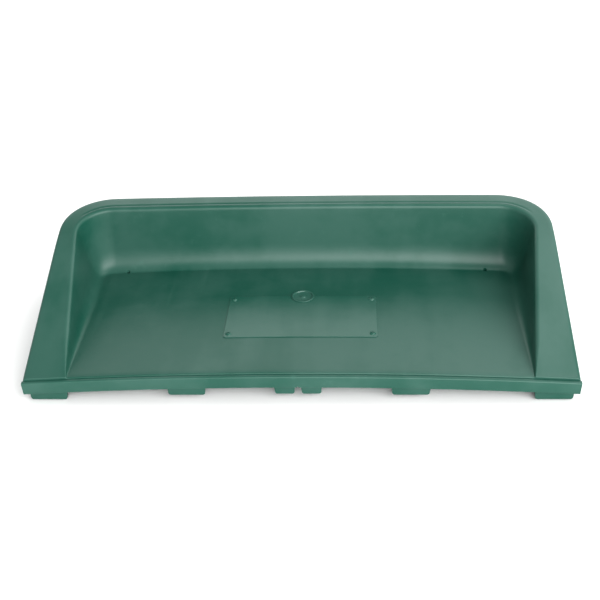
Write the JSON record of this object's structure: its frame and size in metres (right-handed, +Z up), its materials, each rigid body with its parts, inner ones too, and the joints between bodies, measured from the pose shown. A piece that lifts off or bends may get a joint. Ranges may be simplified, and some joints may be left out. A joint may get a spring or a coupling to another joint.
{
  "type": "slide chute section",
  "caption": "Moulded slide section, a shallow three-walled tray with a rising rim, a crowned floor and a front nosing whose hooks catch the next section.",
  "frame": {"origin": "middle of the bounding box's base, the plane that the foot of the outer skirt stands on", "axes": "+X across the chute to its right side, +Y from the front nosing to the rear wall, +Z up"},
  "size_m": [0.6, 0.275, 0.1163],
  "materials": {
    "shell_green": "semi-matte moulded polyethylene with a fine grain",
    "trim_green": "satin moulded polyethylene",
    "plate_green": "satin moulded polyethylene",
    "badge_green": "satin moulded polyethylene",
    "screw_steel": "zinc plated",
    "screw_green": "moulded nylon in the colour of the shell"
  },
  "bodies": {
    "root": {"chute_shell": "shell_green", "front_nosing": "trim_green", "end_hook_left": "trim_green", "end_hook_right": "trim_green", "mid_hook_left": "trim_green", "mid_hook_right": "trim_green", "centre_hook_left": "trim_green", "centre_hook_right": "trim_green", "hook_screws": "screw_steel", "name_plate": "plate_green", "plate_screws": "screw_green", "round_badge": "badge_green"}
  },
  "joints": []
}
